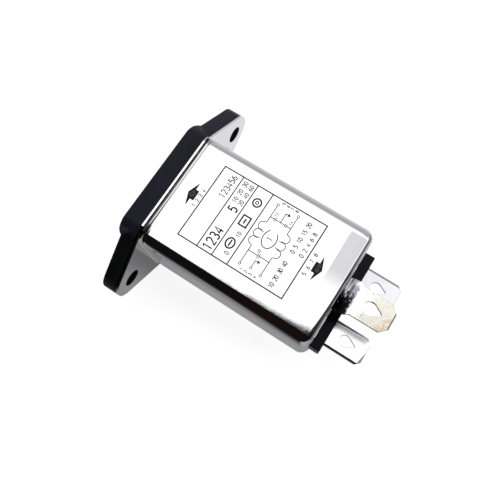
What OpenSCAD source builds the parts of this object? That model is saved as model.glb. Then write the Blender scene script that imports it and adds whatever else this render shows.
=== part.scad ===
// Mains line filter in a drawn metal can, with an appliance inlet in front
// and three push-on tabs behind.
//
// Frame: millimetres.  The origin is the centre of the can flange's rear face,
// the face that rests on a panel.  +X runs from one ear to the other,
// +Y from the inlet to the tabs, +Z out of the printed face.

/* [Flange] */
// Distance between the two screw holes
hole_pitch = 40; // [38:0.5:44]
// Radius of each screw hole
hole_r = 2.0; // [1.6:0.1:2.2]
// Radius of the rounded ear tips, about the screw holes
ear_r = 4.6; // [4:0.1:5.5]
// Height of the flange
flange_h = 23.4; // [22.8:0.1:24]
// Length of the flange's straight long edges
flange_flat = 23.2; // [20:0.5:25]
// Radius where the straight edge turns into the taper
bend_r = 2.5; // [1:0.5:6]
// Thickness of the metal flange
flange_t = 0.8; // [0.5:0.1:1]

/* [Can] */
// Width of the can
case_w = 27.2; // [27.2:0.1:28]
// Height of the can
case_h = 19.5; // [19.5:0.1:20]
// Length of the can behind the flange's rear face
case_l = 39.8; // [39.8:0.1:44]
// Radius of the can's drawn edges
edge_r = 2.2; // [1.2:0.1:2.4]
// Thickness of the drawn wall
wall_t = 0.6; // [0.4:0.1:0.6]
// Radius where the flange meets the wall
root_r = 0.3; // [0.2:0.1:1.6]

/* [Inlet] */
// Thickness of the moulding over the ears
ear_t = 3.2; // [2.4:0.1:3.6]
// Thickness of the moulding around the mouth
boss_t = 4.2; // [3.8:0.1:5]
// Half the width of the thicker middle part
boss_x = 14.6; // [14:0.1:16]
// Radius at the ends of that part
boss_r = 1.8; // [0.4:0.1:2]
// Width of the recess for the plug
mouth_w = 24.2; // [23.8:0.1:24.3]
// Height of the recess for the plug
mouth_h = 16.4; // [16:0.1:16.6]
// Depth of the recess
mouth_d = 16.6; // [15:0.1:17.5]
// Size of the two cut corners on the earth side
mouth_cut = 4.9; // [3:0.1:5.5]
// Thickness of the floor that carries the pins
floor_t = 2.0; // [1.5:0.1:2.5]
// Distance between line and neutral pins
pin_pitch = 14; // [13.8:0.1:14.2]
// Offset of the earth pin from the line of the other two
earth_off = 4; // [3.8:0.1:4.2]

/* [Tabs] */
// Distance between the line and neutral tabs
tab_pitch = 13.4; // [13:0.1:14]
// Width of a tab
tab_w = 6.35; // [6.2:0.05:6.4]
// Thickness of a tab
tab_t = 0.8; // [0.6:0.1:0.9]
// Height of the line and neutral tabs' middle plane
tab_z = -3.45; // [-3.6:0.05:-3.3]
// Height of the ground tab's middle plane
ground_z = 6.4; // [6:0.1:6.6]
// Reach of the line and neutral tabs, from the flange
tab_tip = 50.45; // [49:0.05:52]
// Reach of the ground tab, from the flange
ground_tip = 51.15; // [50:0.05:53]
// How far the terminal base stands out of the can
base_out = 2.2; // [1.5:0.1:3]

/* [Choke] */
// Outer radius of the core
core_ro = 7.5; // [7:0.1:7.5]
// Inner radius of the core
core_ri = 4.2; // [4.2:0.1:4.5]
// Length of the core
core_len = 6.5; // [5:0.1:6.5]
// Diameter of the winding wire
wire_d = 0.9; // [0.6:0.05:0.9]
// Turns in each winding
turns = 9; // [6:1:9]

/* [Hidden] */
$fn = 64;
e = 0.01;

front_y = -flange_t;                 // where the moulding meets the metal flange
boss_y = front_y - boss_t;           // front face of the moulding
ear_y = front_y - ear_t;             // front face over the ears
floor_y = boss_y + mouth_d;          // bottom of the recess
cup_y = floor_y + floor_t;           // back of the moulding
ear_x = hole_pitch / 2;
cup_w = case_w - 2 * wall_t - 0.1;
cup_h = case_h - 2 * wall_t - 0.1;
tail_y = 17.0;                       // end of the pins' solder tails
pin_z = -earth_off / 2;
base_y0 = case_l - 2.0;              // inner end of the terminal base
base_y1 = case_l + base_out;         // outer face of the terminal base
rivet_z = 2.4;
choke_y = 27.4;                      // middle of the choke

// taper from the end of the straight edge to the ear's round tip
tap_v = [ear_x - flange_flat / 2, -flange_h / 2];
tap_a = atan2(tap_v[1], tap_v[0]) + asin(ear_r / norm(tap_v));
tap_p = [flange_flat / 2, flange_h / 2]
      + sqrt(tap_v * tap_v - ear_r * ear_r) * [cos(tap_a), sin(tap_a)];
bend_l = bend_r * tan(-tap_a / 2);

// ---------------------------------------------------------------- helpers

// an outline in the X-Z plane, carried from y0 to y1
module along_y(y0, y1) {
    translate([0, y1, 0]) rotate([90, 0, 0]) linear_extrude(y1 - y0) children();
}

// an outline whose x is Y and whose y is Z, carried across X
module across_x(w) {
    translate([-w / 2, 0, 0]) rotate([90, 0, 90]) linear_extrude(w) children();
}

module round_rect(w, h, r) {
    square([w - 2 * r, h], center = true);
    square([w, h - 2 * r], center = true);
    for (sx = [-1, 1], sy = [-1, 1])
        translate([sx * (w / 2 - r), sy * (h / 2 - r)]) circle(r);
}

// outline of the flange: straight long edges, tapered ears, round tips
module flange_outline() {
    h2 = flange_h / 2;
    f2 = flange_flat / 2;
    a = [f2 - bend_l, h2];
    b = [f2, h2] + bend_l * [cos(tap_a), sin(tap_a)];
    polygon([a, b, tap_p,
             [tap_p[0], -tap_p[1]], [b[0], -b[1]], [a[0], -a[1]],
             [-a[0], -a[1]], [-b[0], -b[1]], [-tap_p[0], -tap_p[1]],
             [-tap_p[0], tap_p[1]], [-b[0], b[1]], [-a[0], a[1]]]);
    for (s = [-1, 1]) {
        translate([s * ear_x, 0]) circle(ear_r);
        for (t = [-1, 1])
            translate([s * a[0], t * (h2 - bend_r)]) circle(bend_r);
    }
}

// a drawn box, open at y0 and rounded at y1
module drawn_box(w, h, y0, y1, r) {
    along_y(y0, y1 - r) round_rect(w, h, r);
    translate([-w / 2 + r, y1 - r - e, -h / 2 + r]) cube([w - 2 * r, r + e, h - 2 * r]);
    for (s = [-1, 1]) {
        translate([-w / 2 + r, y1 - r, s * (h / 2 - r)]) rotate([0, 90, 0]) cylinder(r = r, h = w - 2 * r);
        translate([s * (w / 2 - r), y1 - r, -h / 2 + r]) cylinder(r = r, h = h - 2 * r);
        for (t = [-1, 1])
            translate([s * (w / 2 - r), y1 - r, t * (h / 2 - r)]) sphere(r);
    }
}

// the concave corner section between the flange and the wall
module root_section(x0) {
    translate([x0, 0]) difference() {
        translate([-0.3, -0.3]) square([root_r + 0.3, root_r + 0.3]);
        translate([root_r, root_r]) circle(root_r);
    }
}

module flange_root() {
    for (s = [0, 180]) rotate([0, s, 0]) {
        // long sides
        translate([-case_w / 2 + edge_r, 0, 0]) rotate([90, 0, 90])
            linear_extrude(case_w - 2 * edge_r)
                mirror([0, 0]) rotate(0) difference() {
                    translate([-0.3, case_h / 2 - 0.3]) square([root_r + 0.3, root_r + 0.3]);
                    translate([root_r, case_h / 2 + root_r]) circle(root_r);
                }
        // short sides
        translate([0, 0, -case_h / 2 + edge_r])
            linear_extrude(case_h - 2 * edge_r) root_section(case_w / 2);
        // corners
        for (t = [-1, 1])
            translate([case_w / 2 - edge_r, 0, t * (case_h / 2 - edge_r)])
                rotate([-90, 0, 0]) rotate([0, 0, t > 0 ? -90 : 0])
                    rotate_extrude(angle = 90) root_section(edge_r);
    }
}

function unit(v) = v / norm(v);

// round tube swept along any list of points, as one closed skin;
// r is one radius, or a list with one for each point
module swept(p, r, m) {
    n = len(p);
    t = [for (i = [0 : n - 1]) unit(p[min(i + 1, n - 1)] - p[max(i - 1, 0)])];
    u0 = unit(cross(t[0], [0.31, 0.17, 0.93]));
    u = [for (i = 0, a = u0; i < n; i = i + 1, a = i < n ? unit(a - (a * t[i]) * t[i]) : a) a];
    pts = [for (i = [0 : n - 1]) for (j = [0 : m - 1])
        p[i] + (is_list(r) ? r[i] : r) * (cos(360 * j / m) * u[i] + sin(360 * j / m) * cross(t[i], u[i]))];
    polyhedron(points = pts, convexity = 10, faces = concat(
        [[for (j = [0 : m - 1]) j]],
        [for (i = [0 : n - 2]) for (j = [0 : m - 1])
            [i * m + j, (i + 1) * m + j, (i + 1) * m + (j + 1) % m, i * m + (j + 1) % m]],
        [[for (j = [m - 1 : -1 : 0]) (n - 1) * m + j]]));
}

// ---------------------------------------------------------------- can

// deep-drawn can with its flange, in one piece
module case_shell() {
    color([0.80, 0.79, 0.78]) difference() {
        union() {
            along_y(-flange_t, 0) flange_outline();
            drawn_box(case_w, case_h, -flange_t, case_l, edge_r);
            flange_root();
        }
        drawn_box(case_w - 2 * wall_t, case_h - 2 * wall_t, -flange_t - 1, case_l - wall_t, edge_r - wall_t);
        for (s = [-1, 1])
            translate([s * ear_x, 1, 0]) rotate([90, 0, 0]) cylinder(r = hole_r, h = flange_t + 2);
        // window for the terminal base
        translate([-10.8, case_l - 2, tab_z - 2.3]) cube([21.6, 3, 4.6]);
        // hole for the ground tab's rivet
        translate([0, case_l + 1, rivet_z]) rotate([90, 0, 0]) cylinder(r = 1.25, h = 3);
    }
}

// ---------------------------------------------------------------- inlet

// opening for the plug: two corners are cut on the earth side
module mouth_outline(r = 1.2) {
    w = mouth_w / 2;
    h = mouth_h / 2;
    c = mouth_cut;
    polygon([[-w, -h + r], [-w + r, -h], [w - r, -h], [w, -h + r],
             [w, h - c], [w - c, h], [-w + c, h], [-w, h - c]]);
    for (s = [-1, 1]) translate([s * (w - r), -h + r]) circle(r);
}

// section of the moulding's front: thick in the middle, thinner over the ears
module bezel_section() {
    x1 = boss_x;
    r = boss_r;
    translate([-30, ear_y]) square([60, ear_t]);
    translate([-x1 + r, boss_y]) square([2 * (x1 - r), boss_t]);
    translate([-x1, boss_y + r]) square([2 * x1, boss_t - r]);
    for (s = [-1, 1]) translate([s * (x1 - r), boss_y + r]) circle(r);
}

// black moulding: bezel, ears and the cup around the pins, in one piece
module inlet_housing() {
    color([0.13, 0.13, 0.15]) difference() {
        union() {
            intersection() {
                along_y(boss_y, front_y) flange_outline();
                translate([0, 0, -flange_h / 2 - 1]) linear_extrude(flange_h + 2) bezel_section();
            }
            along_y(front_y - 0.5, cup_y) round_rect(cup_w, cup_h, edge_r - wall_t - 0.05);
        }
        along_y(boss_y - 1, floor_y) mouth_outline();
        for (s = [-1, 1]) translate([s * ear_x, 0, 0]) {
            rotate([90, 0, 0]) cylinder(r = hole_r, h = 8);
            // countersink for a flat-headed screw
            translate([0, ear_y - e, 0]) rotate([-90, 0, 0])
                cylinder(r1 = hole_r + 1.5 + e, r2 = hole_r, h = 1.5 + e);
        }
        for (s = [-1, 1]) blade_slot(s * pin_pitch / 2, pin_z);
        blade_slot(0, -pin_z);
    }
}

module blade_slot(x, z) {
    translate([x - 1, floor_y - 1, z - 2]) cube([2, floor_t + 2, 4]);
}

// flat contact pin with a bevelled tip and a thin solder tail
module blade(tip) {
    intersection() {
        linear_extrude(10, center = true)
            polygon([[-0.5, tip], [0.5, tip], [1, tip + 1.1], [1, cup_y], [0.4, cup_y],
                     [0.4, tail_y], [-0.4, tail_y], [-0.4, cup_y], [-1, cup_y], [-1, tip + 1.1]]);
        across_x(6)
            polygon([[tip, -1.4], [tip + 0.9, -2], [cup_y, -2], [cup_y, -1.5], [tail_y, -1.5],
                     [tail_y, 1.5], [cup_y, 1.5], [cup_y, 2], [tip + 0.9, 2], [tip, 1.4]]);
    }
}

module line_pin() {
    color([0.82, 0.81, 0.78]) translate([-pin_pitch / 2, 0, pin_z]) blade(boss_y + 3.0);
}

module neutral_pin() {
    color([0.82, 0.81, 0.78]) translate([pin_pitch / 2, 0, pin_z]) blade(boss_y + 3.0);
}

module earth_pin() {
    color([0.82, 0.81, 0.78]) translate([0, 0, -pin_z]) blade(boss_y + 2.0);
}

// ---------------------------------------------------------------- rear end

// black insulating base: a bar outside, a neck through the can's window
module terminal_base() {
    color([0.09, 0.09, 0.10]) difference() {
        union() {
            translate([-11.8, case_l, tab_z - 2.9]) cube([23.6, base_out, 5.8]);
            translate([-10.8, base_y0, tab_z - 2.3]) cube([21.6, 3, 4.6]);
        }
        for (s = [-1, 1])
            translate([s * tab_pitch / 2 - tab_w / 2, base_y0 - 1, tab_z - tab_t / 2])
                cube([tab_w, base_out + 4, tab_t]);
    }
}

// drop-shaped hole: round towards the base, pointed towards the tip
module drop_hole(r, reach, y) {
    a = asin((r - 0.25) / reach);
    translate([0, y]) {
        circle(r);
        translate([0, reach]) circle(0.25);
        polygon([[-r * cos(a), r * sin(a)], [-0.25 * cos(a), reach + 0.25 * sin(a)],
                 [0.25 * cos(a), reach + 0.25 * sin(a)], [r * cos(a), r * sin(a)], [0, 0]]);
    }
}

// flat tab along +Y: bevelled long edges and tip, thin tail inside the can
module push_tab() {
    w = tab_w / 2;
    t = tab_t / 2;
    intersection() {
        linear_extrude(4, center = true) difference() {
            polygon([[-2, base_y0 - 4], [2, base_y0 - 4], [2, base_y0], [w, base_y0],
                     [w, tab_tip - 1.05], [w - 1.05, tab_tip], [-w + 1.05, tab_tip],
                     [-w, tab_tip - 1.05], [-w, base_y0], [-2, base_y0]]);
            drop_hole(1.22, 2.15, 45.35);
        }
        union() {
            along_y(base_y1, tab_tip + 1)
                polygon([[-w, -t + 0.25], [-w + 0.55, -t], [w - 0.55, -t], [w, -t + 0.25],
                         [w, t - 0.25], [w - 0.55, t], [-w + 0.55, t], [-w, t - 0.25]]);
            along_y(base_y0 - 5, base_y1) square([tab_w, tab_t], center = true);
        }
        across_x(10)
            polygon([[30, -t], [tab_tip - 0.7, -t], [tab_tip, -t + 0.25],
                     [tab_tip, t - 0.25], [tab_tip - 0.7, t], [30, t]]);
    }
}

module line_tab() {
    color([0.86, 0.86, 0.88]) translate([-tab_pitch / 2, 0, tab_z]) push_tab();
}

module neutral_tab() {
    color([0.86, 0.86, 0.88]) translate([tab_pitch / 2, 0, tab_z]) push_tab();
}

// bent bracket: foot on the can's end wall, tab reaching out above
module ground_tab() {
    w = tab_w / 2;
    ro = 2.0;
    ri = ro - tab_t;
    top = ground_z + tab_t / 2;
    color([0.84, 0.81, 0.70]) difference() {
        intersection() {
            across_x(12) {
                difference() {
                    translate([case_l + ro, top - ro]) circle(ro);
                    translate([case_l + ro, top - ro]) circle(ri);
                    translate([case_l + ro, top - 5]) square([5, 6]);
                    translate([case_l - 1, top - ro - 6]) square([8, 6]);
                }
                translate([case_l, -0.3]) square([tab_t, top - ro + 0.3]);
                polygon([[case_l + ro, top], [case_l + ro, top - tab_t], [ground_tip - 0.5, top - tab_t],
                         [ground_tip, top - tab_t + 0.2], [ground_tip, top - 0.2], [ground_tip - 0.5, top]]);
            }
            translate([0, 0, -2]) linear_extrude(12) difference() {
                polygon([[-3.75, case_l - 1], [3.75, case_l - 1], [3.75, case_l + 2.4], [w, case_l + 3.2],
                         [w, ground_tip - 1.5], [w - 1.5, ground_tip], [-w + 1.5, ground_tip],
                         [-w, ground_tip - 1.5], [-w, case_l + 3.2], [-3.75, case_l + 2.4]]);
                drop_hole(1.45, 2.35, 46.1);
            }
        }
        translate([0, case_l + 2, rivet_z]) rotate([90, 0, 0]) cylinder(r = 1.25, h = 3);
    }
}

// rivet through the bracket's foot and the can's end wall
module ground_rivet() {
    color([0.80, 0.79, 0.76]) translate([0, 0, rivet_z]) rotate([-90, 0, 0]) {
        translate([0, 0, case_l - wall_t]) cylinder(r = 1.25, h = wall_t + tab_t);
        translate([0, 0, case_l - wall_t - 0.6]) cylinder(r = 2.0, h = 0.6);
        translate([0, 0, case_l + tab_t]) intersection() {
            cylinder(r = 2.0, h = 0.8);
            translate([0, 0, -2.1]) sphere(2.9);
        }
    }
}

// ---------------------------------------------------------------- choke

// ferrite ring, its axis along the can
module choke_core() {
    c = 0.5;
    h = core_len / 2;
    color([0.23, 0.24, 0.25]) translate([0, choke_y, 0]) rotate([90, 0, 0]) rotate_extrude()
        polygon([[core_ri + c, -h], [core_ro - c, -h], [core_ro, -h + c], [core_ro, h - c],
                 [core_ro - c, h], [core_ri + c, h], [core_ri, h - c], [core_ri, -h + c]]);
}

// fibre plate across the ring's bore, between the two windings
module choke_divider() {
    color([0.55, 0.20, 0.14]) intersection() {
        translate([-0.4, choke_y - 4.2, -core_ri]) cube([0.8, 8.4, 2 * core_ri]);
        translate([0, choke_y + 5, 0]) rotate([90, 0, 0]) cylinder(r = core_ri, h = 10);
    }
}

// one loop around the ring's section, as [radius, y] pairs from the outside middle
function loop_pt(k) = let (
        g = wire_d / 2 + 0.03,
        rm = (core_ro + core_ri) / 2,
        a = (core_ro - core_ri) / 2 + g,
        b = core_len / 2 + g,
        c = 0.75,
        q = floor(k / 3),
        s = [[1, 1], [-1, 1], [-1, -1], [1, -1]][q],
        w = 90 * q + 45 * (k % 3))
    [rm + s[0] * (a - c) + c * cos(w), s[1] * (b - c) + c * sin(w)];

function coil_path(s) = let (
        n = turns * 12,
        span = 150,
        g = wire_d / 2 + 0.03)
    concat(
        [[s * (core_ro + g) * cos(span / 2), choke_y, -(core_ro + g) * sin(span / 2)]],
        [for (i = [0 : n - 1]) let (
            th = -span / 2 + span * (i + 0.5) / n,
            q = loop_pt(i % 12))
            [s * q[0] * cos(th), choke_y + q[1], q[0] * sin(th)]],
        [[s * (core_ro + g) * cos(span / 2), choke_y, (core_ro + g) * sin(span / 2)]]);

// a winding, with its ends led to a pin's tail and to a tab's tail
module winding(s) {
    lead_in = [[7.40, 16.3, -1.2], [8.0, 16.3, -1.2], [8.45, 16.6, -1.6], [8.65, 17.1, -2.5], [8.7, 18.0, -4.2],
               [8.6, 19.5, -6.2], [8.2, 21.0, -7.4], [7.5, 23.0, -8.0], [5.6, 25.4, -8.1], [3.5, 26.6, -8.0]];
    lead_out = [[3.5, 28.3, 8.0], [5.6, 29.6, 8.1], [7.3, 31.2, 8.0], [8.1, 33.0, 7.3], [8.3, 34.4, 5.8],
                [8.3, 35.2, 3.2], [8.1, 35.6, 0.2], [7.9, 35.7, -1.8], [7.9, 35.7, -2.5], [7.9, 35.7, tab_z + tab_t / 2]];
    swept(concat([for (p = lead_in) [s * p[0], p[1], p[2]]], coil_path(s),
                 [for (p = lead_out) [s * p[0], p[1], p[2]]]), wire_d / 2, 6);
}

module line_winding() {
    color([0.72, 0.42, 0.20]) winding(-1);
}

module neutral_winding() {
    color([0.72, 0.42, 0.20]) winding(1);
}

// ---------------------------------------------------------------- capacitors

// film capacitor in a rectangular case with rounded upright edges
module film_case(y, z) {
    translate([0, y, z]) linear_extrude(11) round_rect(13, 5, 0.5);
}

module line_side_x_capacitor() {
    color([0.85, 0.65, 0.16]) film_case(20.1, -5);
}

module line_side_x_leads() {
    color([0.78, 0.78, 0.78]) for (s = [-1, 1])
        swept([[s * 5, 20.1, -5], [s * 5, 20.1, -5.8], [s * 5.05, 19.9, -6.35], [s * 5.2, 19.3, -6.7],
               [s * 5.6, 18.2, -6.8], [s * 6.2, 17.0, -6.7], [s * 6.7, 16.1, -6.1],
               [s * 6.95, 15.7, -5.3], [s * 7, 15.6, -4.5], [s * 7, 15.6, pin_z - 1.5]], 0.3, 8);
}

module load_side_x_capacitor() {
    color([0.85, 0.65, 0.16]) film_case(34.8, -2.4);
}

module load_side_x_leads() {
    color([0.78, 0.78, 0.78]) for (s = [-1, 1])
        translate([s * 5.4, 34.8, tab_z + tab_t / 2]) cylinder(r = 0.3, h = -2.4 - tab_z - tab_t / 2, $fn = 24);
}

// ceramic disc with a rounded rim, standing beside the choke
module disc_case(s) {
    translate([s * 10.9, choke_y, 0]) rotate([0, 90, 0]) rotate_extrude() {
        translate([0, -1.5]) square([3.0, 3.0]);
        translate([0, -0.5]) square([4.0, 1.0]);
        for (t = [-1, 1]) translate([3.0, t * 0.5]) circle(1.0);
    }
}

module disc_leads(s) {
    difference() {
        union() {
            swept([[s * 10.9, choke_y + 2, -2.5], [s * 10.9, 34.0, -2.5], [s * 10.85, 35.0, -2.65],
                   [s * 10.6, 35.9, -3.0], [s * 10.1, 36.3, -3.3], [s * 9.6, 36.4, tab_z],
                   [s * 9.2, 36.4, tab_z], [s * (tab_pitch / 2 + 2), 36.4, tab_z]], 0.3, 8);
            swept([[s * 10.9, choke_y + 2, 2.5], [s * 10.9, 36.4, 2.5], [s * 10.8, 37.3, 2.5],
                   [s * 10.4, 38.0, 2.45], [s * 9.6, 38.3, 2.4], [s * 8.5, 38.3, 2.3],
                   [s * 0.9, 38.3, 1.7]], 0.3, 8);
        }
        translate([s * 10.9 - 1, choke_y, 0]) rotate([0, 90, 0]) cylinder(r = 4, h = 2);
    }
}

module line_y_capacitor() {
    color([0.20, 0.42, 0.72]) disc_case(-1);
}

module line_y_leads() {
    color([0.78, 0.78, 0.78]) disc_leads(-1);
}

module neutral_y_capacitor() {
    color([0.20, 0.42, 0.72]) disc_case(1);
}

module neutral_y_leads() {
    color([0.78, 0.78, 0.78]) disc_leads(1);
}

// ---------------------------------------------------------------- wiring

// insulated earth wire from the earth pin's tail to the rivet
module earth_wire() {
    p = [[0, 16.1, -pin_z + 1.5], [0, 16.1, 4.6], [0.1, 16.1, 5.1], [0.13, 16.1, 5.13], [0.7, 16.1, 6.2],
         [1.7, 16.1, 7.1], [3, 16.2, 7.5], [5.4, 16.5, 7.6], [7.6, 17.3, 7.6], [9.0, 18.5, 7.5],
         [9.6, 20, 7.4], [9.8, 22, 7.4], [9.8, 34.8, 7.4], [9.7, 36.3, 7.2], [9.3, 37.4, 6.9],
         [8.5, 38.0, 6.5], [7.5, 38.15, 6.05], [5.5, 38.15, 5.3], [3.9, 38.15, 4.7], [3.86, 38.15, 4.68],
         [2.6, 38.18, 4.1], [1.0, 38.2, 3.4]];
    color([0.20, 0.60, 0.25])
        swept(p, [for (i = [0 : len(p) - 1]) i < 3 || i > len(p) - 4 ? 0.4 : 0.75], 10);
}

// a fillet of solder on the face at the origin, around one lead along +X
module solder(r, lead) {
    rotate([0, 90, 0]) rotate_extrude() difference() {
        circle(r);
        translate([-2 * r, -2 * r]) square([2 * r + lead, 4 * r]);
        translate([-2 * r, -2 * r]) square([4 * r, 2 * r]);
    }
}

module solder_joints() {
    color([0.72, 0.73, 0.75]) for (s = [-1, 1]) {
        translate([s * (pin_pitch / 2 + 0.4), 16.3, -1.2]) rotate([0, 0, s > 0 ? 0 : 180]) solder(0.62, 0.46);
        translate([s * pin_pitch / 2, 15.6, pin_z - 1.5]) rotate([0, 90, 0]) solder(0.6, 0.31);
        translate([s * (tab_pitch / 2 + 2), 36.4, tab_z]) rotate([0, 0, s > 0 ? 0 : 180]) solder(0.6, 0.31);
    }
}

// thin insulating sleeve between the can and the parts inside
module insulating_liner() {
    color([0.90, 0.86, 0.72]) difference() {
        along_y(cup_y + 0.3, case_l - edge_r - 0.1) round_rect(cup_w, cup_h, edge_r - wall_t - 0.05);
        along_y(cup_y - 1, case_l) round_rect(cup_w - 0.5, cup_h - 0.5, edge_r - wall_t - 0.3);
    }
}

case_shell();
inlet_housing();
line_pin();
neutral_pin();
earth_pin();
terminal_base();
line_tab();
neutral_tab();
ground_tab();
ground_rivet();
choke_core();
choke_divider();
line_winding();
neutral_winding();
line_side_x_capacitor();
line_side_x_leads();
load_side_x_capacitor();
load_side_x_leads();
line_y_capacitor();
line_y_leads();
neutral_y_capacitor();
neutral_y_leads();
earth_wire();
solder_joints();
insulating_liner();
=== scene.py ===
"""Looks of the panel inlet mains filter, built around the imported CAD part."""
import math

import bmesh
import bpy
from mathutils import Matrix, Vector


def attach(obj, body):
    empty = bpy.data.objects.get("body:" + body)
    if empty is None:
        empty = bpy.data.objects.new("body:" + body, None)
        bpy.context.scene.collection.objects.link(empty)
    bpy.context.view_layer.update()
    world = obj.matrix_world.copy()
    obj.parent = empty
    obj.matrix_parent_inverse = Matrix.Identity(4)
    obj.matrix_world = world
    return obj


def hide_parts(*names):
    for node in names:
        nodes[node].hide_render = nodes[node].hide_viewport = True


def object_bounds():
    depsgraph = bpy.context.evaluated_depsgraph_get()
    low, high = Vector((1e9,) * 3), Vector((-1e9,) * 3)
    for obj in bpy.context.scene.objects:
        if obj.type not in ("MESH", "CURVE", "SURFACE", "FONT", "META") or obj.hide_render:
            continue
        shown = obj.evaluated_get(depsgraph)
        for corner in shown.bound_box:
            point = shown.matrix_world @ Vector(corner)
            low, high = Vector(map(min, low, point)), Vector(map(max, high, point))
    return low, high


MM = 0.001
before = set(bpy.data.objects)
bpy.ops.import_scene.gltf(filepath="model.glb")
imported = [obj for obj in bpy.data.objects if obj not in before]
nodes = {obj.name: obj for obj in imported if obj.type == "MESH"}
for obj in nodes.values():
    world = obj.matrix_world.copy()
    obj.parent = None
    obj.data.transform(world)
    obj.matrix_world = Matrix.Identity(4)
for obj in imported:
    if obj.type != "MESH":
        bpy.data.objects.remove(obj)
scene = bpy.context.scene
cad_lo, cad_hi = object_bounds()

# ------------------------------------------------------------------ camera
cam = bpy.data.objects.new("camera", bpy.data.cameras.new("camera"))
scene.collection.objects.link(cam)
right = Vector((-0.5383881, 0.8421810, -0.0294841))
down = Vector((0.8081599, 0.5060929, -0.3012434))
ahead = Vector((-0.2387798, -0.1860137, -0.9530914))
cam.matrix_world = Matrix(
    (
        (right.x, -down.x, -ahead.x, 0.02448119),
        (right.y, -down.y, -ahead.y, 0.04103759),
        (right.z, -down.z, -ahead.z, 0.11974991),
        (0, 0, 0, 1),
    )
)
cam.data.sensor_width = 36.0
cam.data.lens = 570.01 / 500 * 36
cam.data.shift_x = (250 - 264.91) / 500
cam.data.shift_y = (223.63 - 250) / 500
cam.data.clip_start = 0.01
cam.data.clip_end = 20
scene.camera = cam

# ------------------------------------------------------------------ node helpers


class Ex:
    """A value in a node tree, so that a pattern can be written as a formula."""

    def __init__(self, tree, socket):
        self.tree, self.socket = tree, socket

    def _op(self, kind, *others, clamp=False):
        n = self.tree.nodes.new("ShaderNodeMath")
        n.operation = kind
        n.use_clamp = clamp
        for i, v in enumerate((self, *others)):
            put(self.tree, v, n.inputs[i])
        return Ex(self.tree, n.outputs[0])

    def __add__(self, o):
        return self._op("ADD", o)

    __radd__ = __add__

    def __sub__(self, o):
        return self._op("SUBTRACT", o)

    def __rsub__(self, o):
        return (self * -1) + o

    def __mul__(self, o):
        return self._op("MULTIPLY", o)

    __rmul__ = __mul__

    def __truediv__(self, o):
        return self._op("DIVIDE", o)

    def power(self, o):
        return self._op("POWER", o)

    def min(self, o):
        return self._op("MINIMUM", o)

    def max(self, o):
        return self._op("MAXIMUM", o)

    def abs(self):
        return self._op("ABSOLUTE")

    def clamp(self):
        return self._op("ADD", 0.0, clamp=True)

    def ramp(self, a, b, lo=0.0, hi=1.0, smooth=True):
        """lo at a, hi at b, smooth between."""
        n = self.tree.nodes.new("ShaderNodeMapRange")
        n.interpolation_type = "SMOOTHSTEP" if smooth else "LINEAR"
        n.clamp = True
        put(self.tree, self, n.inputs["Value"])
        n.inputs["From Min"].default_value = a
        n.inputs["From Max"].default_value = b
        n.inputs["To Min"].default_value = lo
        n.inputs["To Max"].default_value = hi
        return Ex(self.tree, n.outputs["Result"])


def put(tree, v, socket):
    if isinstance(v, Ex):
        tree.links.new(v.socket, socket)
    elif isinstance(v, (tuple, list)):
        socket.default_value = (*v, 1.0) if len(v) == 3 and len(socket.default_value) == 4 else v
    else:
        socket.default_value = v


def mix(tree, f, a, b, blend="MIX"):
    """Colour a at f 0, colour b at f 1."""
    n = tree.nodes.new("ShaderNodeMix")
    n.data_type = "RGBA"
    n.blend_type = blend
    n.clamp_factor = True
    put(tree, f, n.inputs["Factor"])
    put(tree, a, n.inputs[6])
    put(tree, b, n.inputs[7])
    return Ex(tree, n.outputs[2])


def lerp(f, a, b):
    """Number a at f 0, number b at f 1."""
    n = f.tree.nodes.new("ShaderNodeMix")
    n.data_type = "FLOAT"
    n.clamp_factor = True
    put(f.tree, f, n.inputs[0])
    put(f.tree, a, n.inputs[2])
    put(f.tree, b, n.inputs[3])
    return Ex(f.tree, n.outputs[0])


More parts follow.
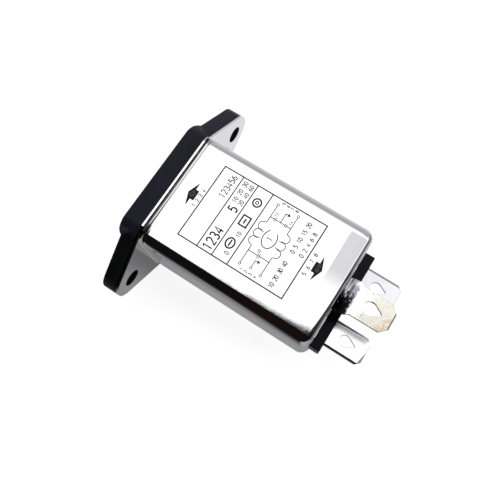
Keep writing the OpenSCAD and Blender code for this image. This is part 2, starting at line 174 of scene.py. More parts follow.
class Look:
    """One procedural material on a Principled shader, with patterns in the row frame's metres."""

    def __init__(self, name):
        self.mat = bpy.data.materials.new(name)
        self.mat.use_nodes = True
        self.tree = self.mat.node_tree
        self.bsdf = next(n for n in self.tree.nodes if n.type == "BSDF_PRINCIPLED")
        self.coord = self.tree.nodes.new("ShaderNodeTexCoord").outputs["Object"]
        s = self.tree.nodes.new("ShaderNodeSeparateXYZ")
        self.tree.links.new(self.coord, s.inputs[0])
        self.x, self.y, self.z = (Ex(self.tree, o) for o in s.outputs)

    def where(self, scale):
        """Coordinates stretched by scale, one number or three."""
        sc = scale if isinstance(scale, (tuple, list)) else (scale,) * 3
        n = self.tree.nodes.new("ShaderNodeMapping")
        self.tree.links.new(self.coord, n.inputs["Vector"])
        n.inputs["Scale"].default_value = sc
        return n.outputs["Vector"]

    def noise(self, scale, detail=3.0, rough=0.55, distortion=0.0, seed=0.0):
        n = self.tree.nodes.new("ShaderNodeTexNoise")
        n.noise_dimensions = "4D"
        self.tree.links.new(self.where(scale), n.inputs["Vector"])
        n.inputs["W"].default_value = seed
        n.inputs["Scale"].default_value = 1.0
        n.inputs["Detail"].default_value = detail
        n.inputs["Roughness"].default_value = rough
        n.inputs["Distortion"].default_value = distortion
        return Ex(self.tree, n.outputs[0])

    def voronoi(self, scale, feature="F1"):
        n = self.tree.nodes.new("ShaderNodeTexVoronoi")
        n.feature = feature
        self.tree.links.new(self.where(scale), n.inputs["Vector"])
        n.inputs["Scale"].default_value = 1.0
        return Ex(self.tree, n.outputs["Distance"])

    def set(self, **sockets):
        names = {
            "color": "Base Color", "rough": "Roughness", "metal": "Metallic", "spec": "Specular IOR Level",
            "coat": "Coat Weight", "coat_rough": "Coat Roughness", "ior": "IOR", "sheen": "Sheen Weight",
            "aniso": "Anisotropic", "tint": "Specular Tint",
        }
        for k, v in sockets.items():
            put(self.tree, v, self.bsdf.inputs[names[k]])
        return self

    def bump(self, height, distance, strength=1.0, before=None):
        """Bumps of height (0 to 1) times distance in metres."""
        n = self.tree.nodes.new("ShaderNodeBump")
        n.inputs["Strength"].default_value = strength
        n.inputs["Distance"].default_value = distance
        put(self.tree, height, n.inputs["Height"])
        if before:
            self.tree.links.new(before.outputs[0], n.inputs["Normal"])
        self.tree.links.new(n.outputs[0], self.bsdf.inputs["Normal"])
        return n


def wear(look, object_names):
    for n in object_names:
        nodes[n].data.materials.clear()
        nodes[n].data.materials.append(look.mat)


# ------------------------------------------------------------------ stage

world = bpy.data.worlds.new("studio")
scene.world = world
world.use_nodes = True
wt = world.node_tree
for n in list(wt.nodes):
    wt.nodes.remove(n)
out = wt.nodes.new("ShaderNodeOutputWorld")
direction = wt.nodes.new("ShaderNodeTexCoord").outputs["Generated"]
sep = wt.nodes.new("ShaderNodeSeparateXYZ")
wt.links.new(direction, sep.inputs[0])
X, Y, Z = (Ex(wt, o) for o in sep.outputs)

# large softbox overhead, on the -X side: edge_x is its far edge on the +X side
edge_x = (Y + 0.36).min(0.0) * -1.5 + Y.min(0.0) * -0.056 + (Y + 0.14).max(0.0).min(0.12) * -0.012 - 0.1266
in_x = (X - edge_x).ramp(0.003, -0.003)
edge_z = (X * -1.6 - 0.18).max(0.25).min(0.78)
# towards the rear its lower edge lies lower and rises to the +X side
edge_z = lerp(Y.ramp(0.55, 0.75), edge_z, (X + 0.20).max(0.0).power(1.5) * 22.0 + 0.245)
in_z = (Z - edge_z).ramp(-0.05, 0.05)
in_y = Y.ramp(-0.46, -0.40)
softbox = in_x * in_z * in_y
# its far left edge and the rear of it are a little dimmer
dim = X.ramp(-0.31, -0.37) * Y.ramp(0.0, 0.02)
level = lerp(dim, 1.6, 1.04) * X.ramp(-0.42, -0.60, 1.0, 0.62)
# walls: mid grey on the -X side, a black flag on the +X side, a grey card behind it
left = X.ramp(-0.25, -0.75)
wall = lerp(left, 0.10, 0.50) + Z.ramp(0.35, 0.0, 0.0, 0.12) * left
rear = Y.ramp(0.30, 0.55)
wall = lerp(rear, wall, X.ramp(-0.12, -0.30, 0.03, 0.20))
flag = (X - edge_x).ramp(-0.003, 0.006)
wall = lerp(flag, wall, 0.006)
card = Y.ramp(0.12, 0.30) * X.ramp(0.08, 0.25)
card_left = rear * X.ramp(-0.42, -0.60)
wall = lerp(card_left, wall, 0.55)
front = Y.ramp(-0.40, -0.62)
wall = lerp(front, wall, 0.42)
up = lerp(softbox, wall, level)
# table seen in the metal: bright on the -X side, in shade on the +X and +Y sides
low = Z.ramp(0.0, -0.75)
bright = lerp(low, 0.66, 0.90)
shade = lerp(low, 0.02, X.ramp(-0.075, -0.02, 0.17, 0.315))
shade = shade * lerp(Y.ramp(-0.20, -0.03) * Z.ramp(-0.80, -0.60), 1.0, 0.45)
table_ = lerp(X.ramp(-0.09, -0.28), shade, bright)
behind = Y.ramp(0.36, 0.55)
far_table = (X.ramp(-0.25, -0.30, 0.0, 0.26) + 0.36) * Z.ramp(-0.05, -0.45, 0.15, 1.0)
table_ = lerp(behind, table_, far_table)
table_ = lerp(card, table_, 0.45)
table_ = lerp(front, table_, 0.60)
radiance = lerp(Z.ramp(0.015, -0.015), up, table_)
# tint: brownish where the dark side ends, otherwise a trace of violet
brown = X.ramp(0.05, 0.2) * Y.ramp(-0.22, -0.08) * Y.ramp(0.12, 0.05) * Z.ramp(-0.1, 0.1)
tint = mix(wt, brown, (1.0, 0.992, 1.02), (1.9, 1.0, 0.85))
tint = mix(wt, Z.ramp(0.05, -0.2), tint, (0.99, 0.975, 1.03))
bg = wt.nodes.new("ShaderNodeBackground")
put(wt, tint, bg.inputs["Color"])
put(wt, radiance, bg.inputs["Strength"])
seen = wt.nodes.new("ShaderNodeBackground")
seen.inputs["Color"].default_value = (1, 1, 1, 1)
seen.inputs["Strength"].default_value = 1.05
path = wt.nodes.new("ShaderNodeLightPath")
both = wt.nodes.new("ShaderNodeMixShader")
wt.links.new(path.outputs["Is Camera Ray"], both.inputs[0])
wt.links.new(bg.outputs[0], both.inputs[1])
wt.links.new(seen.outputs[0], both.inputs[2])
wt.links.new(both.outputs[0], out.inputs["Surface"])

floor_mesh = bpy.data.meshes.new("floor")
floor_mesh.from_pydata([(-3, -3, 0), (3, -3, 0), (3, 3, 0), (-3, 3, 0)], [], [(0, 1, 2, 3)])
floor = bpy.data.objects.new("floor", floor_mesh)
floor.location = (0, 0, cad_lo.z - 0.00005)
scene.collection.objects.link(floor)
fm = bpy.data.materials.new("floor")
fm.use_nodes = True
ft = fm.node_tree
fb = next(n for n in ft.nodes if n.type == "BSDF_PRINCIPLED")
fb.inputs["Base Color"].default_value = (0.60, 0.60, 0.60, 1)
fb.inputs["Roughness"].default_value = 0.9
fb.inputs["Specular IOR Level"].default_value = 0.0
fb.inputs["Emission Color"].default_value = (1, 1, 1, 1)
fb.inputs["Emission Strength"].default_value = 0.86
floor_mesh.materials.append(fm)
floor.visible_glossy = False

scene.view_settings.view_transform = "Standard"
scene.view_settings.look = "None"
scene.view_settings.exposure = 0.0

# ------------------------------------------------------------------ materials

# nickel-plated drawn steel
m = Look("nickel plated steel")
broad = m.noise(90, 2, 0.5, seed=1.0)
grain = m.noise(2600, 3, 0.6, seed=2.0)
haze = m.noise((700, 160, 700), 4, 0.65, seed=3.0)
scratch = m.noise((9000, 220, 9000), 2, 0.5, seed=4.0).ramp(0.62, 0.74)
tone = (broad - 0.5) * 0.05 + (grain - 0.5) * 0.03
col = mix(m.tree, (tone + 0.5).clamp(), (0.72, 0.71, 0.70), (0.82, 0.815, 0.81))
# a rubbed patch near the rear end of the printed face
fine = m.noise(7000, 3, 0.7, seed=4.3)
rub_edge = (haze - 0.5) * 0.0005
rubbed = (
    (m.x + rub_edge).ramp(-0.01125, -0.0110) * m.x.ramp(0.0040, -0.0030)
    * (m.y + rub_edge).ramp(0.03510, 0.03530) * m.y.ramp(0.0390, 0.0387) * m.z.ramp(0.0087, 0.0090)
)
col = mix(m.tree, rubbed * ((fine - 0.5) * 0.5 + 0.95), col, (0.435, 0.435, 0.443))
# painted shade: a dark line where the drawn wall turns into the flange, on the two long sides
height = m.z.abs()
across = m.y - (height - 0.00975) * 0.376
hi_edge = (m.x - 0.003).abs() * -0.008 - 0.00040
painted_crease_shade = (
    across.ramp(-0.00116, -0.00108) * (across - hi_edge).ramp(0.00003, -0.00007)
    * height.ramp(0.00977, 0.00985) * m.x.abs().ramp(0.0126, 0.0120)
)
col = mix(m.tree, painted_crease_shade * ((haze - 0.5) * 0.4 + 1.0), col, (0.006, 0.0055, 0.005))
# painted shadow: a dark line in the gap beside the moulding on the ears
painted_gap_shadow = m.y.ramp(-0.00043, -0.00050) * m.x.abs().ramp(0.0122, 0.0128)
col = mix(m.tree, painted_gap_shadow, col, (0.015, 0.015, 0.017))
# painted light and shade on the +X wall: darker near the flange and the printed face, brighter low down
painted_wall_light = m.z.ramp(0.0078, 0.0012, 0.54, 0.91) * m.z.ramp(-0.0030, -0.0068, 1.0, 1.30)
painted_wall_light = painted_wall_light * lerp(m.z.ramp(0.0045, 0.0075), m.y.ramp(0.004, 0.016, 0.62, 1.0), 1.0)
painted_wall_light = painted_wall_light * m.y.ramp(0.024, 0.034, 1.0, 0.90) * ((haze - 0.5) * 0.25 + 1.0)
col = mix(m.tree, m.x.ramp(0.01345, 0.01355) * m.y.ramp(0.0002, 0.0006), col, mix(m.tree, painted_wall_light, (0, 0, 0), (0.97, 0.965, 0.97)))
# painted shade: a darker tone on the rear rounding, matched to the photo
painted_rear_shade = m.y.ramp(0.03895, 0.03925) * m.x.ramp(-0.0055, -0.0020) * m.x.ramp(0.0070, 0.0040, 0.25, 1.0) * m.z.ramp(0.0066, 0.0074)
col = mix(m.tree, painted_rear_shade * 0.68, col, (0.04, 0.04, 0.04))
m.set(
    color=col,
    metal=1.0,
    rough=(haze - 0.5) * 0.03 + (grain - 0.5) * 0.015 + scratch * 0.04 + rubbed * 0.10 + painted_crease_shade * 0.15 + 0.038,
)
b = m.bump(grain, 0.0000008)
b = m.bump(broad * 1.0 + m.noise(320, 2, 0.5, seed=5.0) * 0.25, 0.00001, before=b)
# tips the reflection just behind the flange, which would show the dark line a second time
m.bump((m.y * -1 + 0.00078).max(0.0).min(0.00046), 0.11, before=b)
wear(m, ["case_shell"])

# black glass-filled moulding
m = Look("black moulding")
fine = m.noise(5200, 3, 0.6, seed=6.0)
cloud = m.noise(160, 3, 0.5, seed=7.0)
# painted shade: the +X ear of the moulding is given a darker, less blue colour than the rest
m.set(
    color=mix(
        m.tree, m.x.ramp(0.0125, 0.0140),
        mix(m.tree, cloud.ramp(0.3, 0.7), (0.0160, 0.0168, 0.0315), (0.0205, 0.0213, 0.0395)),
        mix(m.tree, cloud.ramp(0.3, 0.7), (0.0040, 0.0050, 0.0052), (0.0060, 0.0074, 0.0076)),
    ),
    rough=(fine - 0.5) * 0.16 + (cloud - 0.5) * 0.10 + 0.46,
    spec=0.18,
)
b = m.bump(fine, 0.000006)
m.bump(m.noise(900, 2, 0.5, seed=8.0), 0.000008, before=b)
wear(m, ["inlet_housing"])

# black terminal plastic
m = Look("black terminal plastic")
fine = m.noise(6000, 3, 0.6, seed=9.0)
m.set(
    color=mix(m.tree, m.noise(240, 2, seed=10.0).ramp(0.3, 0.7), (0.0034, 0.0044, 0.0092), (0.0056, 0.0070, 0.0138)),
    rough=(fine - 0.5) * 0.12 + 0.38,
    spec=0.14,
)
m.bump(fine, 0.000004)
wear(m, ["terminal_base"])

# tinned brass tabs
def tin(name, seed, color_a, color_b, dull_edge, lean=0.0, rough=0.17):
    m = Look(name)
    roll = m.noise((5200, 260, 5200), 3, 0.6, seed=seed)
    blot = m.noise(420, 3, 0.6, seed=seed + 0.5)
    pits = m.voronoi(1500).ramp(0.10, 0.04) * m.noise(500, 2, seed=seed + 1.5).ramp(0.58, 0.66)
    col = mix(m.tree, blot.ramp(0.3, 0.7), color_a, color_b)
    col = mix(m.tree, pits * 0.55, col, (0.30, 0.29, 0.30))
    # sheared edges, duller than the faces
    edge = m.z.ramp(-0.00309, -0.00314) * m.z.ramp(-0.00381, -0.00376)
    col = mix(m.tree, edge * dull_edge, col, (0.22, 0.21, 0.23))
    # matt along the sheared long edges
    matt = (m.x.abs() - 0.0067).abs().ramp(0.00300, 0.00304) * m.y.ramp(0.0500, 0.0497)
    m.set(color=col, metal=lerp(matt, 1.0, 0.15), rough=(roll - 0.5) * 0.12 + (blot - 0.5) * 0.10 + pits * 0.2 + rough)
    b = m.bump(roll, 0.0000012)
    b = m.bump(blot - pits * 0.6, 0.000004, before=b)
    # lean: the reflection of the upper face is tipped towards the bright part of the studio
    m.bump(m.x, lean, before=b)
    return m, col, blot


# painted shade: the line tab is given a darker tin colour than the neutral tab, lighter towards the far end
m, col, blot = tin("tinned tab", 11.0, (0.56, 0.56, 0.59), (0.62, 0.62, 0.645), 0.10)
far_end = m.y.ramp(0.0455, 0.0492)
m.set(color=mix(m.tree, far_end * 0.6, col, mix(m.tree, blot, (0.62, 0.61, 0.62), (0.70, 0.69, 0.70))))
wear(m, ["line_tab"])

# painted light: the neutral tab is given a brighter tin colour than the line tab
m, col, blot = tin("tinned tab with painted edge shade", 12.0, (0.86, 0.86, 0.865), (0.92, 0.92, 0.925), 0.10, 0.017)
# painted shade: a dark strip along one long edge
ragged = (m.noise((1500, 500, 1500), 3, 0.7, seed=12.7) - 0.5) * 0.0005
painted_edge_shade = (
    (m.x + ragged + (m.y - 0.0425) * 0.05).ramp(0.00415, 0.00400)
    * m.y.ramp(0.0490, 0.0478) * m.z.ramp(-0.00330, -0.00320)
)
col = mix(m.tree, painted_edge_shade, col, (0.015, 0.015, 0.016))
# painted shade: a dark band on the +X corner of the tip
painted_tip_shade = (m.y + (m.x - 0.0067).max(0.0) * 0.2).ramp(0.0502, 0.0504) * m.x.ramp(0.0062, 0.0072)
col = mix(m.tree, painted_tip_shade * 0.8, col, (0.06, 0.06, 0.065))
m.set(color=col)
wear(m, ["neutral_tab"])

# ground tab: bright near the bend, the brass showing through in specks towards the tip
m = Look("worn tinned brass")
roll = m.noise((5200, 260, 5200), 3, 0.6, seed=14.0)
blot = m.noise(520, 4, 0.7, seed=15.0)
speck = m.noise(4200, 3, 0.75, seed=16.0)
coarse = m.noise(1500, 3, 0.7, seed=16.5)
top_only = m.z.ramp(0.00655, 0.00665)
out_y = (m.y + m.x * 0.25 + (blot - 0.5) * 0.003).ramp(0.0442, 0.0462) * top_only
col = mix(m.tree, blot.ramp(0.3, 0.7), (0.80, 0.80, 0.81), (0.86, 0.86, 0.86))
col = mix(m.tree, out_y, col, mix(m.tree, blot, (0.80, 0.77, 0.65), (0.86, 0.84, 0.76)))
olive = (speck.ramp(0.57, 0.66) * 0.62).max(coarse.ramp(0.62, 0.72) * 0.45) * out_y
col = mix(m.tree, olive, col, (0.26, 0.22, 0.13))
gold = (m.x * 0.6 + (m.y - 0.049)).ramp(0.0004, 0.0022) * coarse.ramp(0.42, 0.58) * top_only
col = mix(m.tree, gold * 0.7, col, (0.60, 0.46, 0.20))
# small grey flecks beside the hole
fleck = (coarse * 0.6 + speck * 0.4).ramp(0.585, 0.62) * m.y.ramp(0.0432, 0.0440) * m.y.ramp(0.0466, 0.0450) * top_only
col = mix(m.tree, fleck * 0.85, col, (0.16, 0.15, 0.15))
# the bend: painted reflection, a grey band across it and a dark patch towards the +X side
hatch = m.noise((900, 3600, 900), 3, 0.7, seed=18.0)
bend = (m.y + (coarse - 0.5) * 0.0016).ramp(0.0427, 0.0421)
grey = bend * m.y.ramp(0.0408, 0.0412) * (hatch - 0.5 + m.x.ramp(-0.0034, -0.0020)).clamp()
col = mix(m.tree, grey, col, (0.22, 0.22, 0.26))
painted_bend_reflection = bend * (m.x.ramp(-0.0018, 0.0012) * 0.9 + (hatch - 0.5) * 3.2 + (coarse - 0.5) * 2.2 - 0.28).ramp(0.0, 0.45)
col = mix(m.tree, painted_bend_reflection, col, (0.014, 0.014, 0.016))
# sheared edges and the wall of the hole
edge = m.z.ramp(0.00675, 0.00668) * m.z.ramp(0.00603, 0.00608) * m.y.ramp(0.0432, 0.0436)
col = mix(m.tree, edge * 0.9, col, (0.085, 0.075, 0.070))
below = m.z.ramp(0.00606, 0.00602) * m.y.ramp(0.0432, 0.0436)
m.set(
    color=col, metal=lerp(below, 1.0, 0.25),
    rough=(roll - 0.5) * 0.10 + out_y * 0.12 + painted_bend_reflection * 0.2 + fleck * 0.2 + below * 0.3 + 0.16,
)
b = m.bump(roll, 0.0000012)
m.bump(blot - olive * 0.4 - fleck * 0.5, 0.000004, before=b)
wear(m, ["ground_tab"])

# riveted steel, bare contact metal, solder, leads
def plain_metal(name, seed, a, c, rough, scale=1800):
    m = Look(name)
    g = m.noise(scale, 3, 0.6, seed=seed)
    w = m.noise(scale / 9, 2, 0.5, seed=seed + 0.5)
    m.set(color=mix(m.tree, w.ramp(0.3, 0.7), a, c), metal=1.0, rough=(g - 0.5) * 0.14 + (w - 0.5) * 0.08 + rough)
    m.bump(g + w, 0.000003)
    return m


wear(plain_metal("rivet metal", 20.0, (0.66, 0.65, 0.63), (0.76, 0.75, 0.73), 0.24), ["ground_rivet"])
wear(plain_metal("contact metal", 22.0, (0.70, 0.69, 0.66), (0.80, 0.79, 0.76), 0.20), ["line_pin", "neutral_pin", "earth_pin"])
wear(plain_metal("solder", 24.0, (0.62, 0.63, 0.65), (0.74, 0.75, 0.77), 0.30), ["solder_joints"])
wear(
    plain_metal("tinned lead", 26.0, (0.70, 0.70, 0.71), (0.80, 0.80, 0.81), 0.26),
    ["line_side_x_leads", "load_side_x_leads", "line_y_leads", "neutral_y_leads"],
)

m = Look("ferrite")
g = m.noise(1400, 4, 0.7, seed=30.0)
m.set(color=mix(m.tree, g.ramp(0.3, 0.7), (0.030, 0.031, 0.034), (0.062, 0.064, 0.068)), rough=(g - 0.5) * 0.3 + 0.55)
m.bump(g, 0.00002)
wear(m, ["choke_core"])

m = Look("fibre plate")
g = m.noise((2400, 300, 300), 4, 0.6, seed=31.0)
m.set(color=mix(m.tree, g.ramp(0.3, 0.7), (0.24, 0.055, 0.030), (0.36, 0.095, 0.050)), rough=(g - 0.5) * 0.2 + 0.6)
m.bump(g, 0.00001)
wear(m, ["choke_divider"])

m = Look("enamelled copper")
g = m.noise(700, 3, 0.5, seed=32.0)
m.set(
    color=mix(m.tree, g.ramp(0.3, 0.7), (0.62, 0.22, 0.07), (0.80, 0.36, 0.13)),
    metal=1.0, rough=(g - 0.5) * 0.1 + 0.22, coat=0.6, coat_rough=0.08,
)
wear(m, ["line_winding", "neutral_winding"])

m = Look("capacitor case")
g = m.noise(2200, 3, 0.6, seed=33.0)
w = m.noise(150, 2, 0.5, seed=34.0)
m.set(color=mix(m.tree, w.ramp(0.3, 0.7), (0.62, 0.36, 0.030), (0.72, 0.45, 0.050)), rough=(g - 0.5) * 0.14 + 0.36)
m.bump(g, 0.000006)
wear(m, ["line_side_x_capacitor", "load_side_x_capacitor"])

m = Look("ceramic coating")
g = m.noise(600, 3, 0.6, seed=35.0)
m.set(color=mix(m.tree, g.ramp(0.3, 0.7), (0.025, 0.11, 0.36), (0.045, 0.16, 0.46)), rough=(g - 0.5) * 0.12 + 0.28, coat=0.4, coat_rough=0.1)
m.bump(g, 0.00003)
wear(m, ["line_y_capacitor", "neutral_y_capacitor"])

m = Look("wire insulation")
g = m.noise(1500, 3, 0.6, seed=36.0)
stripe = (m.x * 0.6 + m.z * 1.0 + m.y * 0.15)
band = m.noise(380, 2, 0.4, seed=37.0).ramp(0.50, 0.52)
m.set(color=mix(m.tree, band, (0.030, 0.22, 0.045), (0.72, 0.60, 0.03)), rough=(g - 0.5) * 0.12 + 0.42)
m.bump(g, 0.000005)
wear(m, ["earth_wire"])

m = Look("liner film")
g = m.noise((600, 120, 600), 3, 0.6, seed=38.0)
m.set(color=mix(m.tree, g.ramp(0.3, 0.7), (0.72, 0.62, 0.40), (0.82, 0.73, 0.52)), rough=(g - 0.5) * 0.12 + 0.32)
m.bump(g, 0.00001)
wear(m, ["insulating_liner"])

# printing ink
m = Look("black ink")
g = m.noise(2600, 3, 0.6, seed=40.0)
thin = m.noise(900, 3, 0.7, seed=41.0).ramp(0.60, 0.80)
ink = mix(m.tree, thin * 0.35 + g * 0.3, (0.010, 0.010, 0.012), (0.08, 0.08, 0.085))


def worn(cx, cy, rx, ry):
    """Soft round spot where the ink is rubbed thin, in metres."""
    u, v = (m.x - cx) / rx, (m.y - cy) / ry
    return (u * u + v * v).ramp(1.3, 0.5)


spots = worn(-0.00062, 0.00335, 0.0008, 0.0006).max(worn(-0.00045, 0.03345, 0.0005, 0.00045)).max(
    worn(-0.00145, 0.03340, 0.0005, 0.00045)
)
ink = mix(m.tree, spots * (m.noise(2200, 3, 0.7, seed=42.0).ramp(0.35, 0.60) * 0.7 + 0.25), ink, (0.17, 0.165, 0.17))
m.set(color=ink, rough=(g - 0.5) * 0.2 + 0.5, spec=0.2)
m.bump(g, 0.000003)
INK = m.mat

# ------------------------------------------------------------------ moulded and sheared edges


def refined(name, width, segments, pick=lambda e, a, c: True):
    """A copy of a CAD node's shape with the picked sharp edges rounded over, shown in place of the node."""
    src = nodes[name]
    bm = bmesh.new()
    bm.from_mesh(src.data)
    bm.transform(src.matrix_world)
    bmesh.ops.remove_doubles(bm, verts=bm.verts, dist=2e-6)
    bmesh.ops.dissolve_limit(bm, angle_limit=math.radians(0.4), verts=bm.verts, edges=bm.edges)
    edges = [
        e for e in bm.edges
        if len(e.link_faces) == 2 and e.calc_face_angle(0) > math.radians(32) and pick(e, e.verts[0].co, e.verts[1].co)
    ]
    bmesh.ops.bevel(
        bm, geom=edges, offset=width, offset_type="OFFSET", segments=segments, profile=0.5,
        affect="EDGES", clamp_overlap=True,
    )
    bmesh.ops.recalc_face_normals(bm, faces=bm.faces)
    bmesh.ops.triangulate(bm, faces=[f for f in bm.faces if len(f.verts) > 4])
    mesh = bpy.data.meshes.new(name + "_rounded")
    bm.to_mesh(mesh)
    bm.free()
    if segments > 3:
        for poly in mesh.polygons:
            poly.use_smooth = True
        mesh.set_sharp_from_angle(angle=math.radians(28))
    ob = bpy.data.objects.new(name + "_rounded", mesh)
    scene.collection.objects.link(ob)
    mesh.materials.append(src.data.materials[0])
    if segments > 3:
        wn = ob.modifiers.new("flat faces stay flat", "WEIGHTED_NORMAL")
        wn.mode = "FACE_AREA"
        wn.weight = 50
        wn.keep_sharp = True
    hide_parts(name)
    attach(ob, "root")
    return ob


def front_rim(e, a, c):
    """The outer rims of the moulding's front faces."""
    outside = all(abs(p.x) > 0.0128 or abs(p.z) > 0.0090 for p in (a, c))
    return outside and a.y < -0.0036 and c.y < -0.0036 and abs(a.y - c.y) < 0.00002


refined("inlet_housing", 0.00045, 4, front_rim)
refined("terminal_base", 0.00022, 3, lambda e, a, c: max(a.y, c.y) > 0.0405)
refined("line_tab", 0.00016, 2, lambda e, a, c: min(a.y, c.y) > 0.0418)
refined("neutral_tab", 0.00016, 2, lambda e, a, c: min(a.y, c.y) > 0.0418)
refined("ground_tab", 0.00018, 2, lambda e, a, c: min(a.y, c.y) > 0.0400 and min(a.z, c.z) > 0.0)

# ------------------------------------------------------------------ print on the can

FACE_Z = 9.75 * MM
INK_LO, INK_HI = FACE_Z - 0.00002, FACE_Z + 0.000016


def prism(bm, outline):
    """A closed flat solid of ink with this outline, in mm, lying on the printed face."""
    n = len(outline)
    area = sum(outline[i][0] * outline[(i + 1) % n][1] - outline[(i + 1) % n][0] * outline[i][1] for i in range(n))
    if area < 0:
        outline = outline[::-1]
    lo = [bm.verts.new((x * MM, y * MM, INK_LO)) for x, y in outline]
    hi = [bm.verts.new((x * MM, y * MM, INK_HI)) for x, y in outline]
    bm.faces.new(lo[::-1])
    bm.faces.new(hi)
    for i in range(n):
        bm.faces.new((lo[i], lo[(i + 1) % n], hi[(i + 1) % n], hi[i]))


def stroke(bm, points, width, closed=False):
    """A pen stroke: a closed flat solid of this width along the points, in mm, with mitred turns."""
    pts = [Vector((p[0], p[1])) for p in points]
    n = len(pts)
    left_, right_ = [], []
    for i in range(n):
        a = pts[i - 1] if i > 0 or closed else None
        c = pts[(i + 1) % n] if i < n - 1 or closed else None
        d1 = (pts[i] - a).normalized() if a is not None else None
        d2 = (c - pts[i]).normalized() if c is not None else None
        d1, d2 = d1 or d2, d2 or d1
        n1, n2 = Vector((-d1.y, d1.x)), Vector((-d2.y, d2.x))
        m_ = n1 + n2
        m_ = m_.normalized() if m_.length > 1e-6 else n1
        k = min(1.6, 1.0 / max(0.35, m_.dot(n1)))
        left_.append(pts[i] + m_ * (k * width / 2))
        right_.append(pts[i] - m_ * (k * width / 2))
    lo_l = [bm.verts.new((p.x * MM, p.y * MM, INK_LO)) for p in left_]
    lo_r = [bm.verts.new((p.x * MM, p.y * MM, INK_LO)) for p in right_]
    hi_l = [bm.verts.new((p.x * MM, p.y * MM, INK_HI)) for p in left_]
    hi_r = [bm.verts.new((p.x * MM, p.y * MM, INK_HI)) for p in right_]
    spans = range(n if closed else n - 1)
    for i in spans:
        j = (i + 1) % n
        bm.faces.new((hi_r[i], hi_r[j], hi_l[j], hi_l[i]))
        bm.faces.new((lo_l[i], lo_l[j], lo_r[j], lo_r[i]))
        bm.faces.new((hi_l[i], hi_l[j], lo_l[j], lo_l[i]))
        bm.faces.new((lo_r[i], lo_r[j], hi_r[j], hi_r[i]))
    if not closed:
        bm.faces.new((hi_l[0], lo_l[0], lo_r[0], hi_r[0]))
        bm.faces.new((hi_r[-1], lo_r[-1], lo_l[-1], hi_l[-1]))


def arc(cx, cy, rx, ry, a0, a1, n=14):
    return [
        (cx + rx * math.cos(math.radians(a0 + (a1 - a0) * i / n)), cy + ry * math.sin(math.radians(a0 + (a1 - a0) * i / n)))
        for i in range(n + 1)
    ]


# plain digits as pen strokes in a box 0.6 wide and 1 high
DIGITS = {
    "0": [arc(0.3, 0.5, 0.26, 0.46, 90, 450, 22)[:-1]],
    "1": [[(0.12, 0.80), (0.34, 0.96), (0.34, 0.04)]],
    "2": [arc(0.30, 0.70, 0.25, 0.26, 165, -35, 10) + [(0.06, 0.04), (0.56, 0.04)]],
    "3": [arc(0.28, 0.73, 0.24, 0.23, 150, -80, 10) + arc(0.28, 0.27, 0.27, 0.24, 80, -150, 12)],
    "4": [[(0.44, 0.04), (0.44, 0.96), (0.05, 0.30), (0.58, 0.30)]],
    "5": [[(0.52, 0.96), (0.12, 0.96), (0.09, 0.55)] + arc(0.29, 0.34, 0.26, 0.29, 130, -145, 12)],
    "6": [[(0.46, 0.94), (0.30, 0.86), (0.14, 0.66)] + arc(0.30, 0.30, 0.25, 0.26, 170, 530, 18)],
    "7": [[(0.05, 0.96), (0.55, 0.96), (0.22, 0.04)]],
    "8": [arc(0.30, 0.73, 0.21, 0.22, 90, 450, 16)[:-1], arc(0.30, 0.28, 0.25, 0.24, 90, 450, 16)[:-1]],
    "9": [[(0.14, 0.06), (0.30, 0.14), (0.46, 0.34)] + arc(0.30, 0.70, 0.25, 0.26, -10, -370, 18)],
}
RINGS = {("0", 0), ("8", 0), ("8", 1)}


def number(bm, text, x, y, h, width, pitch=0.82, squeeze=1.0):
    """Digits that read along -X with their tops towards -Y. x, y is the foot of the first one."""
    for k, ch in enumerate(text):
        if ch == " ":
            continue
        for i, line in enumerate(DIGITS[ch]):
            pts = [(x - (p[0] * squeeze + k * pitch) * h, y - p[1] * h) for p in line]
            stroke(bm, pts, width, closed=(ch, i) in RINGS)


def printed(name, draw):
    bm = bmesh.new()
    draw(bm)
    bmesh.ops.recalc_face_normals(bm, faces=bm.faces)
    mesh = bpy.data.meshes.new(name)
    bm.to_mesh(mesh)
    bm.free()
    ob = bpy.data.objects.new(name, mesh)
    scene.collection.objects.link(ob)
    mesh.materials.append(INK)
    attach(ob, "root")
    return ob


FX0, FX1, FY0, FY1 = -9.31, 8.10, 5.80, 30.55
ROWS = (10.42, 14.00, 17.68)


def draw_frame(bm):
    w = 0.27
    stroke(bm, [(FX0, FY0), (FX1, FY0), (FX1, FY1), (FX0, FY1)], w, closed=True)
    for y in ROWS:
        stroke(bm, [(FX0 + w / 2, y), (FX1 - w / 2, y)], w * 0.92)


def draw_arrow(cx, tip_y, sign):
    """A broad arrow whose point is at tip_y; sign is +1 when it points to -Y."""

    def draw(bm):
        prism(
            bm,
            [
                (cx, tip_y), (cx + 2.72, tip_y + sign * 1.06), (cx + 2.60, tip_y + sign * 1.15),
                (cx + 1.16, tip_y + sign * 1.15), (cx + 1.16, tip_y + sign * 1.98),
                (cx - 1.16, tip_y + sign * 1.98), (cx - 1.16, tip_y + sign * 1.15),
                (cx - 2.60, tip_y + sign * 1.15), (cx - 2.72, tip_y + sign * 1.06),
            ],
        )

    return draw


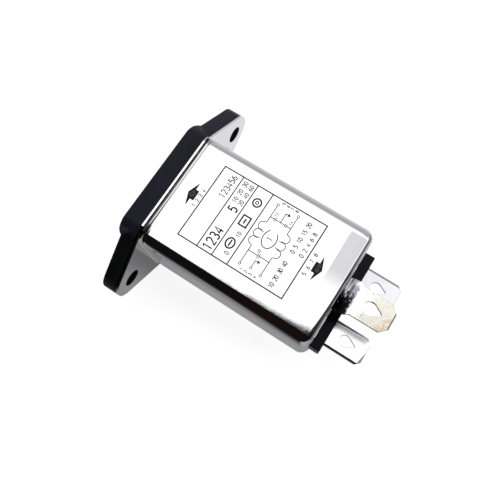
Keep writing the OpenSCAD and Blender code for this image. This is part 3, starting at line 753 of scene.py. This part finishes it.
def draw_diagram(bm):
    w = 0.18
    yl, yn, ym = 19.70, 24.59, 22.13
    # conductors with three-hump coils between them
    for y, s in ((yl, -1), (yn, 1)):
        humps = [
            (c + 0.98 * math.cos(math.radians(t)), y + s * (0.05 + 1.14 * math.sin(math.radians(t))))
            for c in (1.10, -0.70, -2.50)
            for t in range(0, 181, 15)
        ]
        stroke(bm, [(6.24, y), (2.10, y)], w)
        stroke(bm, [(-3.52, y), (-7.64, y)], w)
        stroke(bm, humps, w)
        for x0, x1 in ((0.22, 0.02), (-1.62, -1.44)):
            stroke(bm, [(x0, y + s * 0.40), (x1, y - s * 0.56)], w * 1.1)
    # ring between the coils, open towards -X
    stroke(bm, arc(-0.78, ym, 2.04, 1.47, -147, 147, 28), 0.21)
    number(bm, "1", -0.42, ym + 0.62, 1.26, 0.20)
    # terminals
    for x, y in ((6.50, yl), (6.50, yn), (-7.91, yl), (-7.91, yn), (6.15, ym)):
        stroke(bm, arc(x, y, 0.25, 0.25, 0, 360, 16)[:-1], 0.15, closed=True)
    # capacitor across the line side
    stroke(bm, [(3.30, yl), (3.30, ym - 0.15)], w)
    stroke(bm, [(3.30, yn), (3.30, ym + 0.15)], w)
    for dy in (-0.17, 0.17):
        stroke(bm, [(2.78, ym + dy), (3.82, ym + dy)], 0.17)
    # two capacitors to earth on the load side
    for ya, yb, yc in ((yl, 20.86, ym), (yn, 23.40, ym)):
        g = 0.15 if yb > ya else -0.15
        stroke(bm, [(-4.91, ya), (-4.91, yb - g)], w)
        stroke(bm, [(-4.91, yc), (-4.91, yb + g)], w)
        for dy in (-0.16, 0.16):
            stroke(bm, [(-4.48, yb + dy), (-5.34, yb + dy)], 0.16)
    # earth arrows
    for xa, xb in ((5.90, 4.40), (-4.91, -7.09)):
        stroke(bm, [(xa, ym), (xb, ym), (xb, ym + 0.60)], w)
        prism(bm, [(xb + 0.44, ym + 0.52), (xb - 0.44, ym + 0.52), (xb, ym + 1.10)])


def draw_numbers(bm):
    # beside the two arrows
    number(bm, "1234", 1.62, 5.46, 0.92, 0.16, 1.34)
    number(bm, "5678", 1.84, 32.12, 0.90, 0.16, 1.66)
    # first cell
    number(bm, "123456", -3.12, 9.52, 1.48, 0.21, 0.625, 0.86)
    # second cell
    number(bm, "1234", 7.60, 13.46, 2.24, 0.33, 0.600, 0.78)
    number(bm, "5", -1.74, 13.40, 2.14, 0.33, 0.600, 0.78)
    number(bm, "10 20 30", -3.60, 12.12, 1.08, 0.17, 0.60, 0.80)
    number(bm, "20 40 60", -3.60, 13.56, 1.04, 0.17, 0.61, 0.80)
    # values under the diagram
    number(bm, "10 20 30 40", 7.48, 27.88, 1.02, 0.18, 0.545, 0.82)
    number(bm, "0 5 10 15 20", -0.78, 27.88, 1.02, 0.18, 0.600, 0.85)
    number(bm, "0 2 4 6 8", -0.96, 29.84, 1.00, 0.18, 0.655, 0.90)
    # terminal numbers
    for k, ch in enumerate("1234"):
        number(bm, ch, 7.52, 20.98 + k * 1.03, 0.68, 0.15)
    for k, ch in enumerate("5678"):
        number(bm, ch, -8.52, 20.98 + k * 1.03, 0.68, 0.15)
    number(bm, "10", 2.92, 22.02, 0.66, 0.13, 0.72)
    number(bm, "12", -5.46, 20.92, 0.66, 0.13, 0.72)
    number(bm, "14", -5.46, 24.36, 0.66, 0.13, 0.72)


def draw_marks(bm):
    """Three plain shapes in the third cell, with small numbers beside the first."""
    w = 0.34
    y = 15.83
    stroke(bm, arc(4.05, y, 1.12, 0.92, 0, 360, 32)[:-1], w, closed=True)
    stroke(bm, [(4.80, y), (3.30, y)], w)
    stroke(bm, [(-0.20, y - 0.86), (-2.46, y - 0.86), (-2.46, y + 0.86), (-0.20, y + 0.86)], w, closed=True)
    stroke(bm, [(-0.20 - 0.55, y), (-2.46 + 0.55, y)], w)
    stroke(bm, arc(-5.98, y, 0.90, 0.90, 0, 360, 32)[:-1], w, closed=True)
    stroke(bm, arc(-5.98, y, 0.32, 0.32, 0, 360, 20)[:-1], 0.22, closed=True)
    number(bm, "0", 6.42, 16.86, 1.02, 0.17, 0.60, 0.90)
    number(bm, "10", 2.26, 16.78, 0.92, 0.17, 0.70, 0.90)


printed("print_frame", draw_frame)
printed("print_line_arrow", draw_arrow(-0.57, 2.35, 1))
printed("print_load_arrow", draw_arrow(-0.75, 34.40, -1))
printed("print_diagram", draw_diagram)
printed("print_numbers", draw_numbers)
printed("print_marks", draw_marks)
